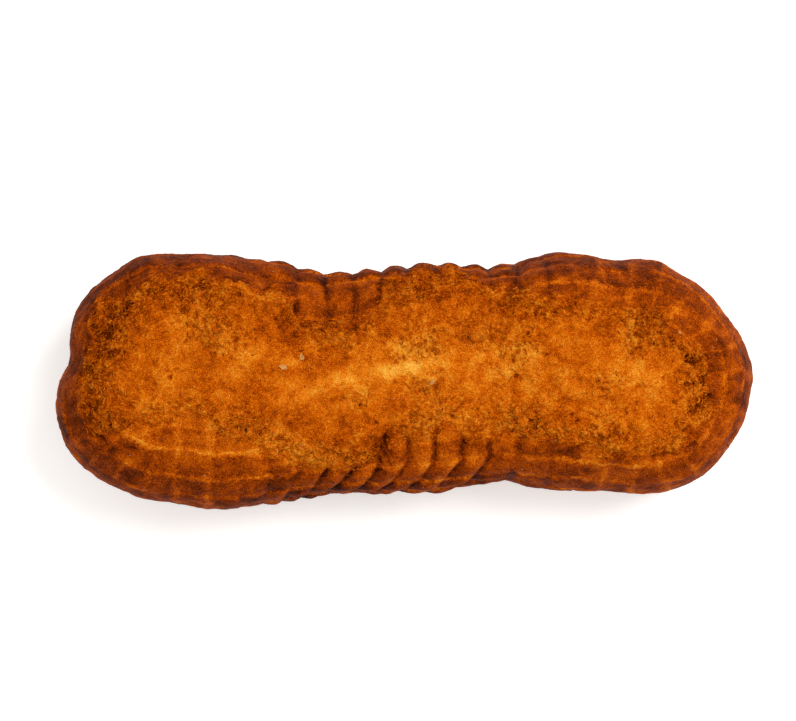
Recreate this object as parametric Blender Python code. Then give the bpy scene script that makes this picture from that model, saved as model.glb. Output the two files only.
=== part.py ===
"""Plain cruller: one fried stick of cake dough, 140 mm long, resting on its flattened underside.

The stick runs along X and its split, crumbly top faces +Z. Its form is a superellipse swept
along a short spine, with a dome on each end. On that form lie the square scales of the skin,
the raised crumb of the split top, and the pits and clefts where the crumb meets the skin.
"""

import math

import bmesh
import bpy
from mathutils import Vector, noise

MM = 0.001

# Driving dimensions of the body
LENGTH = 140 * MM
WIDTH = 51.8 * MM
SPINE_HALF = 45 * MM  # half of the stretch between the two end domes
SPINE_Z = 16.0 * MM  # height at which the stick is widest
TOP_RISE = 19.3 * MM  # from there up to the skin at the fullest lobe
BOTTOM_DROP = 17.1 * MM  # from there down, before the foot is flattened
FULLEST = 25.4 * MM  # half width of the fullest lobe

# Place along the spine, half width there, and how far the middle swings towards +Y
STATIONS = [
    (-45 * MM, 25.0 * MM, 0.3 * MM),
    (-36 * MM, 25.4 * MM, -0.2 * MM),
    (-27 * MM, 24.4 * MM, -0.3 * MM),
    (-14 * MM, 22.3 * MM, -0.2 * MM),
    (4 * MM, 22.8 * MM, 0.8 * MM),
    (18 * MM, 21.3 * MM, 1.4 * MM),
    (31 * MM, 23.5 * MM, 2.1 * MM),
    (45 * MM, 23.2 * MM, 0.9 * MM),
]
LEFT_BLUNTNESS = 2.2  # plan exponent of each end: 2 is an ellipse, more is squarer
RIGHT_BLUNTNESS = 2.0
LEFT_SLANT = 0.08  # the left end is cut a little askew
TOP_SQUARENESS = 2.4  # section exponents above and below the widest line
BOTTOM_SQUARENESS = 2.7

RISE_BY_WIDTH = 0.8  # a narrower stretch is also lower, by this power of its width
DOME_SHARE = 0.31  # share of the net's length that wraps each end dome

# Where the wall leaves that form: place round the rim, side (+1 is +Y), how far out, spread
SWELLS = [
    (-81 * MM, 1, -2.2 * MM, 6 * MM),
    (-50 * MM, 1, 0.8 * MM, 13 * MM),
    (-17 * MM, 1, -1.1 * MM, 9 * MM),
    (70 * MM, 1, -1.5 * MM, 9 * MM),
    (51 * MM, 1, 0.6 * MM, 3 * MM),
    (-60 * MM, -1, -1.1 * MM, 9 * MM),
    (-23 * MM, -1, -0.7 * MM, 4 * MM),
    (61 * MM, -1, 1.0 * MM, 9 * MM),
]

# Square scales of the skin: columns cross the stick, rows run along it. Pairs of values are for
# the lobes, where the lines between scales are thin ridges, and the waist, where they are cut in
SCALE_LONG = 5.5 * MM
SCALE_ROUND = 5.2 * MM
SCALE_RELIEF = 1.3 * MM
SCALE_TILT = 0.5 * MM
GROOVE_WIDTH = (0.6, 1.2)  # exponents, thin lines and the wide furrows behind the waist
GIRTH_RADIUS = 22.5 * MM  # turns an angle round the section into a length of skin
FIRST_COLUMN = 21.4 * MM
FIRST_ROW = 0.12
WAIST = 32 * MM  # the columns are cut deepest this far from the middle
COLUMN_DEPTH = (-0.16, 0.95)  # shares of the relief
ROW_DEPTH = (-0.20, 0.50)
SCALE_LIFT = (0.10, 0.42)
SCALE_UNEVENNESS = (0.6, 0.8)  # least share of that lift, and what chance adds to it
TALL_COLUMNS = (0, 3)  # behind the waist these squares are two rows high
TALL_ROWS = (2, 4)
TEETH = {"middle": -3 * MM, "half": 22 * MM, "top": 15 * MM, "slant": 0.6}  # front of the waist
# Random unevenness of the scales: how much, and how many times a metre
COLUMN_LEAN = (0.25, 38)
COLUMN_DRIFT = (0.16, 55)
ROW_DRIFT = (0.16, 62)
LINE_JAG = (0.09, 260)
FAINTNESS = 110  # times a metre that the lines fade

# The split top, with its unevenness likewise
CRUMB_RISE = 0.9 * MM
CRUMB_RELIEF = (0.6 * MM, 310)
LOBE_SWELL = (0.7 * MM, 75)
EDGE_WANDER = ((0.10, 180), (0.06, 480))
EDGE_SOFTNESS = 0.05
# Torn edge of the skin: place round the rim and share of the half width, behind and in front
BACK_EDGE = [
    (-85 * MM, 0.74), (-62 * MM, 0.78), (-40 * MM, 0.80), (-25 * MM, 0.74), (-19 * MM, 0.56),
    (-12 * MM, 0.49), (-7 * MM, 0.62), (-2 * MM, 0.86), (8 * MM, 0.91), (18 * MM, 0.80),
    (30 * MM, 0.64), (45 * MM, 0.54), (65 * MM, 0.52), (85 * MM, 0.58),
]
FRONT_EDGE = [
    (-85 * MM, 0.74), (-70 * MM, 0.66), (-61 * MM, 0.30), (-40 * MM, 0.29), (-29 * MM, 0.47),
    (-21 * MM, 0.64), (-12 * MM, 0.73), (-5 * MM, 0.68), (0 * MM, 0.50), (7 * MM, 0.44),
    (15 * MM, 0.53), (30 * MM, 0.60), (46 * MM, 0.66), (65 * MM, 0.68), (85 * MM, 0.58),
]
# Hollows of the top, then the tears of its crumb: x, y, half length, half width, turn in
# degrees, depth
HOLLOWS = [
    (-58 * MM, 10 * MM, 9.0 * MM, 2.8 * MM, 58, 1.1 * MM),
    (-22 * MM, 9 * MM, 4.5 * MM, 3.5 * MM, 0, 0.9 * MM),
    (-14 * MM, 14 * MM, 7.0 * MM, 5.0 * MM, 0, 0.9 * MM),
    (-5 * MM, -13 * MM, 5.0 * MM, 1.4 * MM, 65, 1.5 * MM),
    (60 * MM, 2 * MM, 7.0 * MM, 1.9 * MM, 105, 1.2 * MM),
    (20 * MM, 15 * MM, 6.0 * MM, 1.8 * MM, 80, 0.7 * MM),
    (27 * MM, -7 * MM, 12.0 * MM, 2.5 * MM, 8, 0.5 * MM),
    (-30 * MM, -2 * MM, 6.0 * MM, 2.0 * MM, 20, 0.5 * MM),
    (-54.3 * MM, 14.3 * MM, 1.6 * MM, 0.8 * MM, 40, 0.9 * MM),
    (-57.4 * MM, 9.8 * MM, 1.9 * MM, 1.1 * MM, 60, 1.1 * MM),
    (-56.6 * MM, 5.4 * MM, 1.7 * MM, 0.9 * MM, 15, 0.9 * MM),
    (-59.4 * MM, 4.6 * MM, 1.5 * MM, 0.8 * MM, -10, 0.9 * MM),
    (-62.2 * MM, 2.4 * MM, 2.0 * MM, 0.9 * MM, 35, 0.9 * MM),
    (55.7 * MM, 4.5 * MM, 2.0 * MM, 1.0 * MM, -20, 1.2 * MM),
    (58.0 * MM, 0.4 * MM, 1.4 * MM, 0.9 * MM, 80, 1.1 * MM),
    (58.6 * MM, -3.0 * MM, 1.7 * MM, 0.8 * MM, 10, 1.2 * MM),
    (56.0 * MM, -5.2 * MM, 1.6 * MM, 0.9 * MM, 60, 1.1 * MM),
    (-4.0 * MM, -12.4 * MM, 2.0 * MM, 0.6 * MM, 84, 0.9 * MM),
]

# Net that carries the shape, before it is thinned to the triangles that the relief needs
NET_SPACING = 0.85 * MM
NET_LENGTH = 130 * MM  # of skin from dome to dome
NET_WIDTH = 34 * MM  # of skin on each of the four sides
TRIANGLES = 12400
FINISH = {"colour": (0.47, 0.14, 0.016, 1.0), "roughness": 0.62}


def clear_scene():
    for obj in list(bpy.data.objects):
        bpy.data.objects.remove(obj, do_unlink=True)


def chance(cell):
    """One number from 0 to 1 for each whole-numbered cell."""
    return 0.5 + 0.5 * noise.cell(cell)


def smooth(low, high, value):
    share = min(1.0, max(0.0, (value - low) / (high - low)))
    return share * share * (3 - 2 * share)


def eased_along(table, place):
    """The values of a table at a place, eased from each of its rows to the next."""
    place = min(table[-1][0], max(table[0][0], place))
    for near, far in zip(table, table[1:]):
        if place <= far[0]:
            share = smooth(near[0], far[0], place)
            return [start + (end - start) * share for start, end in zip(near[1:], far[1:])]
    return table[-1][1:]


def box_net(cells_long, cells_wide, cells_high):
    """A cube whose faces are cut into an even grid of squares."""
    net = bmesh.new()
    bmesh.ops.create_cube(net, size=2.0)
    for axis, cells in enumerate((cells_long, cells_wide, cells_high)):
        along = [e for e in net.edges if abs((e.verts[0].co - e.verts[1].co)[axis]) > 1e-6]
        bmesh.ops.subdivide_edges(net, edges=along, cuts=cells - 1, use_grid_fill=True)
    return net


def unroll(corner):
    """From a point of the cube to a place on the spine and a direction out from it."""
    straight = 1 - DOME_SHARE
    reach = abs(corner.x)
    spine_x = SPINE_HALF * min(1.0, reach / straight)
    x = max(0.0, (reach - straight) / DOME_SHARE)
    y, z = corner.y, corner.z
    xx, yy, zz = x * x, y * y, z * z
    direction = Vector((
        math.copysign(x * math.sqrt(1 - yy / 2 - zz / 2 + yy * zz / 3), corner.x),
        y * math.sqrt(1 - zz / 2 - xx / 2 + zz * xx / 3),
        z * math.sqrt(1 - xx / 2 - yy / 2 + xx * yy / 3),
    ))
    return math.copysign(spine_x, corner.x), direction.normalized()


def body_point(spine_x, direction):
    """Where that direction leaves the plain form, and the share of the half width there."""
    half_width, swing = eased_along(STATIONS, spine_x)
    rise = TOP_RISE * (half_width / FULLEST) ** RISE_BY_WIDTH if direction.z > 0 else BOTTOM_DROP
    plan = LEFT_BLUNTNESS if direction.x < 0 else RIGHT_BLUNTNESS
    section = TOP_SQUARENESS if direction.z > 0 else BOTTOM_SQUARENESS
    end_reach = LENGTH / 2 - SPINE_HALF
    flat = abs(direction.x / end_reach) ** plan + abs(direction.y / half_width) ** plan
    flat **= 1 / plan
    radius = (flat**section + abs(direction.z / rise) ** section) ** (-1 / section)
    point = Vector((spine_x, swing, SPINE_Z)) + direction * radius
    if direction.x < 0:
        point.x += LEFT_SLANT * (point.y - swing) * smooth(0, 0.6, -direction.x)
    return point, flat * radius


def rim_place(spine_x, direction):
    """Length round the rim from the middle of the stick, alike on both sides."""
    turn = math.atan2(abs(direction.x), abs(direction.y) + 1e-9)
    return spine_x + math.copysign(turn * FULLEST, spine_x)


def swell_at(place, direction):
    """How far the wall stands out of the plain form there."""
    total = 0.0
    for centre, side, change, spread in SWELLS:
        sideness = smooth(-0.3, 0.3, side * direction.y)
        total += change * sideness * math.exp(-(((place - centre) / spread) ** 2))
    return total


def wander(unevenness, point):
    """A smooth random number at this point, up to the first of the two numbers given."""
    amount, times_a_metre = unevenness
    return amount * noise.noise(point * times_a_metre)


def crumb_share(place, direction, share, point):
    """1 on the split crumb of the top, 0 on the skin."""
    if direction.z < 0:
        return 0.0
    back = smooth(-0.3, 0.3, direction.y)
    edge = eased_along(BACK_EDGE, place)[0] * back + eased_along(FRONT_EDGE, place)[0] * (1 - back)
    edge += sum(wander(unevenness, point) for unevenness in EDGE_WANDER)
    return 1 - smooth(edge - EDGE_SOFTNESS, edge + EDGE_SOFTNESS, share)


def groove(turns, width):
    """1 in the line between two scales and 0 on their flats."""
    return 1 - abs(math.sin(math.pi * turns)) ** width


def scales(place, direction, point):
    """Height of the square scales, which are deepest at the waist and tilted like shingles."""
    waist = math.exp(-((place / WAIST) ** 4))
    column_depth, row_depth, lift = [
        lobe + (middle - lobe) * waist for lobe, middle in (COLUMN_DEPTH, ROW_DEPTH, SCALE_LIFT)]
    back = smooth(-0.3, 0.3, direction.y)
    teeth = math.exp(-(((place - TEETH["middle"]) / TEETH["half"]) ** 4)) * (1 - back)
    down = math.asin(max(-1.0, min(1.0, direction.z))) * GIRTH_RADIUS
    amount, times_a_metre = COLUMN_LEAN
    lean = amount * (1 - 0.8 * waist)
    lean *= noise.noise(Vector((place * times_a_metre, direction.y, 3.0)))
    shift = lean * down + TEETH["slant"] * teeth * max(0.0, TEETH["top"] - down)
    jagged = wander(LINE_JAG, point)
    across = (place + FIRST_COLUMN + shift) / SCALE_LONG + jagged + wander(COLUMN_DRIFT, point)
    around = down / SCALE_ROUND + FIRST_ROW + jagged
    around += ROW_DRIFT[0] * noise.noise(point * ROW_DRIFT[1] + Vector((5, 2, 8)))
    (left, right), (low, high) = TALL_COLUMNS, TALL_ROWS
    if direction.y > 0 and left <= across < right and low < around < high:
        around = low + (around - low) / 2
    faint = smooth(-0.45, 0.35, noise.noise(point * FAINTNESS + Vector((1, 6, 3))))
    thin, wide = GROOVE_WIDTH
    column_groove = groove(across, thin + (wide - thin) * waist * back)
    row_groove = groove(around, thin)
    least, more = SCALE_UNEVENNESS
    uneven = least + more * chance(Vector((math.floor(across), math.floor(around), 2.0)))
    slope = (across % 1.0 - 0.5) + 0.6 * (around % 1.0 - 0.5)
    cut = column_depth * (0.5 + 0.5 * faint) * column_groove
    cut += row_depth * (1.1 - 0.5 * faint) * row_groove * (1 - column_groove)
    height = SCALE_RELIEF * (lift * uneven - cut)
    return height + SCALE_TILT * slope * (1 - column_groove) * (0.2 + 0.8 * waist)


def hollow_depth(point):
    """How deep the named hollows and clefts of the top are at this point."""
    depth = 0.0
    for x, y, half_long, half_wide, turn, deep in HOLLOWS:
        cos, sin = math.cos(math.radians(turn)), math.sin(math.radians(turn))
        across_x, across_y = point.x - x, point.y - y
        along = (across_x * cos + across_y * sin) / half_long
        aside = (across_y * cos - across_x * sin) / half_wide
        depth += deep * math.exp(-(along**2) - aside**2)
    return depth


def relief(spine_x, direction, share, point):
    """Height of the surface over the plain form."""
    place = rim_place(spine_x, direction)
    crumb = crumb_share(place, direction, share, point)
    amount, times_a_metre = LOBE_SWELL
    swell = amount * noise.fractal(point * times_a_metre, 1.0, 2.0, 2)
    swell += swell_at(place, direction) * share**2
    skin = scales(place, direction, point)
    amount, times_a_metre = CRUMB_RELIEF
    rough = CRUMB_RISE + amount * noise.fractal(point * times_a_metre, 0.8, 2.1, 3)
    height = swell + skin * (1 - crumb) + rough * crumb
    if direction.z > 0:
        height -= hollow_depth(point) * smooth(0.2, 0.5, direction.z)
    return height


def shape_net(net):
    """Moves the cube's points to the plain form, then out by the relief."""
    places = []
    for vert in net.verts:
        spine_x, direction = unroll(vert.co)
        point, share = body_point(spine_x, direction)
        vert.co = point
        places.append((spine_x, direction, share))
    net.normal_update()
    outward = [vert.normal.copy() for vert in net.verts]
    for vert, normal, (spine_x, direction, share) in zip(net.verts, outward, places):
        vert.co += normal * relief(spine_x, direction, share, vert.co)


def thinned(obj):
    """The object's mesh with only the triangles that its relief needs."""
    faces = sum(len(polygon.vertices) - 2 for polygon in obj.data.polygons)
    modifier = obj.modifiers.new("thin", "DECIMATE")
    modifier.ratio = TRIANGLES / faces
    modifier.use_collapse_triangulate = True
    graph = bpy.context.evaluated_depsgraph_get()
    return bpy.data.meshes.new_from_object(obj.evaluated_get(graph))


def settle(mesh):
    """Flattens the foot on the ground and brings the stick to its length and width."""
    for axis, size in ((0, LENGTH), (1, WIDTH)):
        low = min(vert.co[axis] for vert in mesh.vertices)
        high = max(vert.co[axis] for vert in mesh.vertices)
        for vert in mesh.vertices:
            vert.co[axis] = (vert.co[axis] - (low + high) / 2) * size / (high - low)
    for vert in mesh.vertices:
        vert.co.z = max(0.0, vert.co.z)


def crust_material():
    material = bpy.data.materials.new("fried_crust")
    material.use_nodes = True
    shader = material.node_tree.nodes["Principled BSDF"]
    shader.inputs["Base Color"].default_value = FINISH["colour"]
    shader.inputs["Roughness"].default_value = FINISH["roughness"]
    shader.inputs["Metallic"].default_value = 0.0
    material.diffuse_color = FINISH["colour"]
    return material


def make_cruller(collection):
    net = box_net(
        round(NET_LENGTH / NET_SPACING),
        round(NET_WIDTH / NET_SPACING),
        round(NET_WIDTH / NET_SPACING),
    )
    shape_net(net)
    mesh = bpy.data.meshes.new("cruller")
    net.to_mesh(mesh)
    net.free()
    cruller = bpy.data.objects.new("cruller", mesh)
    collection.objects.link(cruller)
    bpy.context.view_layer.update()
    lean = thinned(cruller)
    cruller.modifiers.clear()
    cruller.data = lean
    settle(lean)
    lean.shade_smooth()
    lean.materials.append(crust_material())
    return cruller


def main():
    clear_scene()
    collection = bpy.data.collections.new("plain_cruller")
    bpy.context.scene.collection.children.link(collection)
    make_cruller(collection)


if __name__ == "__main__":
    main()
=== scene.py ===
# Plain cruller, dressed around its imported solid: a fried stick of cake dough whose top has
# split open over a skin of square scales. Lengths are metres; mm turns millimetres to metres.
import math
import random
from functools import partial
from types import SimpleNamespace

import bmesh
import bpy
from mathutils import Matrix, Vector, noise
from mathutils.bvhtree import BVHTree


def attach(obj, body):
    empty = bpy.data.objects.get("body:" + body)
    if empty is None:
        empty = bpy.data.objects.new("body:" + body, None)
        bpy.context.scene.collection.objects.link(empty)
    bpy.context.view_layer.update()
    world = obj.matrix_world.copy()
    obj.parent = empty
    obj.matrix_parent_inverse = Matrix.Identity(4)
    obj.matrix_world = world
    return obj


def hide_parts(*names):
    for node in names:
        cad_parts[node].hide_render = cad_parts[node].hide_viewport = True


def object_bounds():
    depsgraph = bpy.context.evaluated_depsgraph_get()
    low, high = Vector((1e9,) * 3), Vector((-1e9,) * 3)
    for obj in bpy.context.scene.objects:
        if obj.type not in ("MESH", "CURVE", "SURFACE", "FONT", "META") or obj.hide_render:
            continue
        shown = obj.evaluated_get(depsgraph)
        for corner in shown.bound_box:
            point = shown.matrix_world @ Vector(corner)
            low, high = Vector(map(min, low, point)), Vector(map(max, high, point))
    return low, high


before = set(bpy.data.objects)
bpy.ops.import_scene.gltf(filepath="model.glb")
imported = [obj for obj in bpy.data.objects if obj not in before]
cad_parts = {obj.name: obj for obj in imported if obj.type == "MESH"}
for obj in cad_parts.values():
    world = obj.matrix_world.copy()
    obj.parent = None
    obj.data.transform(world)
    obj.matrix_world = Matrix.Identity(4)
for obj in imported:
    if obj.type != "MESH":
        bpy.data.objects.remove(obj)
cadLow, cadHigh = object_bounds()
mm = 0.001
noise.seed_set(4)  # or else noise_vector differs on each run
print("frame loaded:", sorted(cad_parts))


def ease(low, high, value):
    share = min(1.0, max(0.0, (value - low) / (high - low)))
    return share * share * (3 - 2 * share)


def between(pair, share):
    return pair[0] + (pair[1] - pair[0]) * share


def valuesAt(stops, x):  # each stop is a place and its values, and between two they blend
    x = min(stops[-1][0], max(stops[0][0], x))
    near, far = next(pair for pair in zip(stops, stops[1:]) if x <= pair[1][0])
    share = ease(near[0], far[0], x)
    return [between(pair, share) for pair in zip(near[1:], far[1:])]


def chance(point):  # one number from 0 to 1 for each whole-numbered cell of space
    return 0.5 + 0.5 * noise.cell(point)


# The form of the stick, repeated from the solid so that the fine mesh lies on it
stick = {
    "length": cadHigh.x - cadLow.x,
    "spineHalf": 45 * mm,  # half of the stretch between the two end domes
    "spineZ": 16.0 * mm,
    "topRise": 19.3 * mm,
    "bottomDrop": 17.1 * mm,
    "fullest": 25.4 * mm,  # half width of the fullest lobe
    "thinning": 0.8,  # exponent: how far the top sinks where the stick narrows
    "stations": [  # place along the spine, half width, swing towards +Y
        (-45 * mm, 25.0 * mm, 0.3 * mm),
        (-36 * mm, 25.4 * mm, -0.2 * mm),
        (-27 * mm, 24.4 * mm, -0.3 * mm),
        (-14 * mm, 22.3 * mm, -0.2 * mm),
        (4 * mm, 22.8 * mm, 0.8 * mm),
        (18 * mm, 21.3 * mm, 1.4 * mm),
        (31 * mm, 23.5 * mm, 2.1 * mm),
        (45 * mm, 23.2 * mm, 0.9 * mm),
    ],
    "leftBluntness": 2.2,
    "rightBluntness": 2.0,
    "leftSlant": 0.08,
    "topSquareness": 2.4,
    "bottomSquareness": 2.7,
    "domeShare": 0.31,
    "swells": [  # place round the rim, side (+1 is +Y), how far the wall stands out, spread
        (-81 * mm, 1, -2.2 * mm, 6 * mm),
        (-50 * mm, 1, 0.8 * mm, 13 * mm),
        (-17 * mm, 1, -1.1 * mm, 9 * mm),
        (70 * mm, 1, -1.5 * mm, 9 * mm),
        (51 * mm, 1, 0.6 * mm, 3 * mm),
        (-60 * mm, -1, -1.1 * mm, 9 * mm),
        (-23 * mm, -1, -0.7 * mm, 4 * mm),
        (61 * mm, -1, 1.0 * mm, 9 * mm),
    ],
    "cells": (396, 124, 84),  # squares of the net along, across and up
    "triangles": 196000,  # kept of them, most where the crumb is rough
}


def boxNet(counts):
    net = bmesh.new()
    bmesh.ops.create_cube(net, size=2.0)
    for axis, cells in enumerate(counts):
        along = [e for e in net.edges if abs((e.verts[0].co - e.verts[1].co)[axis]) > 1e-6]
        bmesh.ops.subdivide_edges(net, edges=along, cuts=cells - 1, use_grid_fill=True)
    return net


def unroll(corner):  # cube point to a place on the spine and a direction out from it
    straight = 1 - stick["domeShare"]
    reach = abs(corner.x)
    spineX = stick["spineHalf"] * min(1.0, reach / straight)
    x = max(0.0, (reach - straight) / stick["domeShare"])
    y, z = corner.y, corner.z
    xx, yy, zz = x * x, y * y, z * z
    direction = Vector((
        math.copysign(x * math.sqrt(1 - yy / 2 - zz / 2 + yy * zz / 3), corner.x),
        y * math.sqrt(1 - zz / 2 - xx / 2 + zz * xx / 3),
        z * math.sqrt(1 - xx / 2 - yy / 2 + xx * yy / 3),
    ))
    return math.copysign(spineX, corner.x), direction.normalized()


def bodyPoint(spineX, direction):  # the plain form there, and its share of the half width
    halfWidth, swing = valuesAt(stick["stations"], spineX)
    up = direction.z > 0
    rise = stick["topRise"] * (halfWidth / stick["fullest"]) ** stick["thinning"]
    rise = rise if up else stick["bottomDrop"]
    plan = stick["leftBluntness"] if direction.x < 0 else stick["rightBluntness"]
    section = stick["topSquareness"] if up else stick["bottomSquareness"]
    endReach = stick["length"] / 2 - stick["spineHalf"]
    flat = abs(direction.x / endReach) ** plan + abs(direction.y / halfWidth) ** plan
    flat **= 1 / plan
    radius = (flat**section + abs(direction.z / rise) ** section) ** (-1 / section)
    point = Vector((spineX, swing, stick["spineZ"])) + direction * radius
    if direction.x < 0:
        point.x += stick["leftSlant"] * (point.y - swing) * ease(0, 0.6, -direction.x)
    return point, flat * radius


# The skin: square scales, cut deep at the waist like shingles and outlined by thin raised
# ridges on the lobes
scales = {
    "long": 5.5 * mm,
    "round": 5.2 * mm,
    "relief": 1.3 * mm,
    "grooveWidth": (0.6, 1.2),  # exponents, thin lines and the wide furrows behind the waist
    "tilt": 0.5 * mm,
    "slant": 0.6,  # teeth under the front of the waist lean this much
    "teethTop": 15 * mm,
    "teethMiddle": -3 * mm,
    "teethHalf": 22 * mm,
    "girthRadius": 22.5 * mm,
    "firstColumn": 21.4 * mm,
    "longer": [(-32.4 * mm, 0.14), (42 * mm, 0.30)],  # from here towards that end, by this share
    "firstRow": 0.12,
    "waist": 32 * mm,
    "columnDepth": (-0.16, 0.95),  # shares of the relief on the lobes (a ridge) and at the waist
    "rowDepth": (-0.20, 0.50),
    "lift": (0.10, 0.42),  # how far the scales stand out, likewise
    "lean": (0.25, 38),  # how much, and how many times a metre
    "columnDrift": (0.16, 55),
    "rowDrift": (0.16, 62),
    "jag": (0.09, 260),
    "faint": 110,  # patches this fine, where the lines all but vanish
    "dent": (0.16 * mm, 420),
    "uneven": (0.6, 1.4),  # one scale stands out this much more or less than another
    "foldSize": (9 * mm, 0.8 * mm),  # fine folds that follow the rim, along it and across
    "shade": -0.085,  # browner than the lines between them
    "shadeSpread": 0.14,
    # painted shade in the wide furrows behind the waist
    "paintedFurrowShade": -0.07,
    # painted shade on the left half of each tooth under the front of the waist
    "paintedToothShade": -0.26,
    "paintedShadeUphill": (-0.10, -0.17),  # painted shade on each scale's uphill half, on the lobes and behind the waist
    "lineToneAndPaintedShade": (0.20, -0.28),  # columns: lighter lines on the lobes, painted shade in the deep grooves at the waist
    "rowShade": (0.21, 0.22),
    "foldShade": (0.10, 0.30),  # everywhere and on the wall behind the left lobe
    "tallColumns": (0, 3),  # behind the waist these squares are two rows high
    "tallRows": (2, 4),
}


def rimPlace(spineX, direction):  # length round the rim from the middle, alike on both sides
    turn = math.atan2(abs(direction.x), abs(direction.y) + 1e-9)
    return spineX + math.copysign(turn * stick["fullest"], spineX)


def swellAt(place, direction):
    total = 0.0
    for centre, side, change, spread in stick["swells"]:
        onSide = ease(-0.3, 0.3, side * direction.y)
        total += change * onSide * math.exp(-(((place - centre) / spread) ** 2))
    return total


def groove(turns, width):  # 1 in the line between two scales, 0 on their flats
    return 1 - abs(math.sin(math.pi * turns)) ** width


def scaleAt(place, direction, point):  # where the point lies in the net of scales
    at = SimpleNamespace(waist=math.exp(-((place / scales["waist"]) ** 4)))
    at.back = ease(-0.3, 0.3, direction.y)
    at.down = math.asin(max(-1.0, min(1.0, direction.z))) * scales["girthRadius"]
    fromTeeth = (place - scales["teethMiddle"]) / scales["teethHalf"]
    at.teeth = math.exp(-(fromTeeth**4)) * (1 - at.back)
    amount, fineness = scales["lean"]
    lean = amount * (1 - 0.8 * at.waist) * noise.noise(Vector((place * fineness, direction.y, 3.0)))
    amount, fineness = scales["jag"]
    jagged = amount * noise.noise(point * fineness)
    slant = scales["slant"] * at.teeth * max(0.0, scales["teethTop"] - at.down)
    for start, share in scales["longer"]:
        beyond = max(0.0, place - start) if start > 0 else min(0.0, place - start)
        slant -= share * beyond
    at.across = (place + scales["firstColumn"] + lean * at.down + slant) / scales["long"] + jagged
    amount, fineness = scales["columnDrift"]
    at.across += amount * noise.noise(point * fineness)
    at.around = at.down / scales["round"] + scales["firstRow"] + jagged
    amount, fineness = scales["rowDrift"]
    at.around += amount * noise.noise(point * fineness + Vector((5, 2, 8)))
    left, right = scales["tallColumns"]
    lower, upper = scales["tallRows"]
    if direction.y > 0 and left <= at.across < right and lower < at.around < upper:
        at.around = lower + (at.around - lower) / 2
    at.faint = ease(-0.45, 0.35, noise.noise(point * scales["faint"] + Vector((1, 6, 3))))
    at.cell = Vector((math.floor(at.across), math.floor(at.around), 2.0))
    thin, wide = scales["grooveWidth"]
    at.columnGroove = groove(at.across, thin + (wide - thin) * at.waist * at.back)
    at.rowGroove = groove(at.around, thin)
    return at


def scaleHeight(at, point):
    depths = ("columnDepth", "rowDepth", "lift")
    columnDepth, rowDepth, lift = [between(scales[name], at.waist) for name in depths]
    slope = (at.across % 1.0 - 0.5) + 0.6 * (at.around % 1.0 - 0.5)
    cut = columnDepth * (0.5 + 0.5 * at.faint) * at.columnGroove
    cut += rowDepth * (1.1 - 0.5 * at.faint) * at.rowGroove * (1 - at.columnGroove)
    height = scales["relief"] * (lift * between(scales["uneven"], chance(at.cell)) - cut)
    height += scales["tilt"] * slope * (1 - at.columnGroove) * (0.2 + 0.8 * at.waist)
    amount, fineness = scales["dent"]
    return height + amount * noise.noise(point * fineness)


def scaleLooks(at, place):  # how brown the scale is plus painted shade on its uphill half, in the furrows and on the teeth, and what the material draws over it
    leftBack = at.back * ease(-15 * mm, -30 * mm, place)
    shade = scales["shade"] + scales["shadeSpread"] * (chance(at.cell + Vector((7, 3, 9))) - 0.5)
    # painted shade: darker on the uphill half, in the furrows behind the waist and on each tooth's left
    # half
    shade += between(scales["paintedShadeUphill"], at.waist * at.back) * (at.around % 1.0 - 0.5)
    shade += scales["paintedFurrowShade"] * at.waist * at.columnGroove * (0.4 + 0.6 * at.back)
    underFront = at.teeth * ease(18 * mm, 13 * mm, at.down)
    shade += scales["paintedToothShade"] * underFront * (0.5 - at.across % 1.0)
    clear = (1 - 0.75 * leftBack) * (1 - 0.35 * ease(52 * mm, 66 * mm, abs(place)))
    columnShade, rowShade = [between(scales[name], at.waist) * clear for name in ("lineToneAndPaintedShade", "rowShade")]
    return shade, {
        "column": at.across,
        "row": at.around,
        "fold": between(scales["foldShade"], leftBack) * (1.2 - at.waist),
        "columnLine": columnShade * (0.2 + 0.8 * at.faint),
        "rowLine": rowShade * (1.3 - 1.0 * at.faint),
    }


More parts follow.
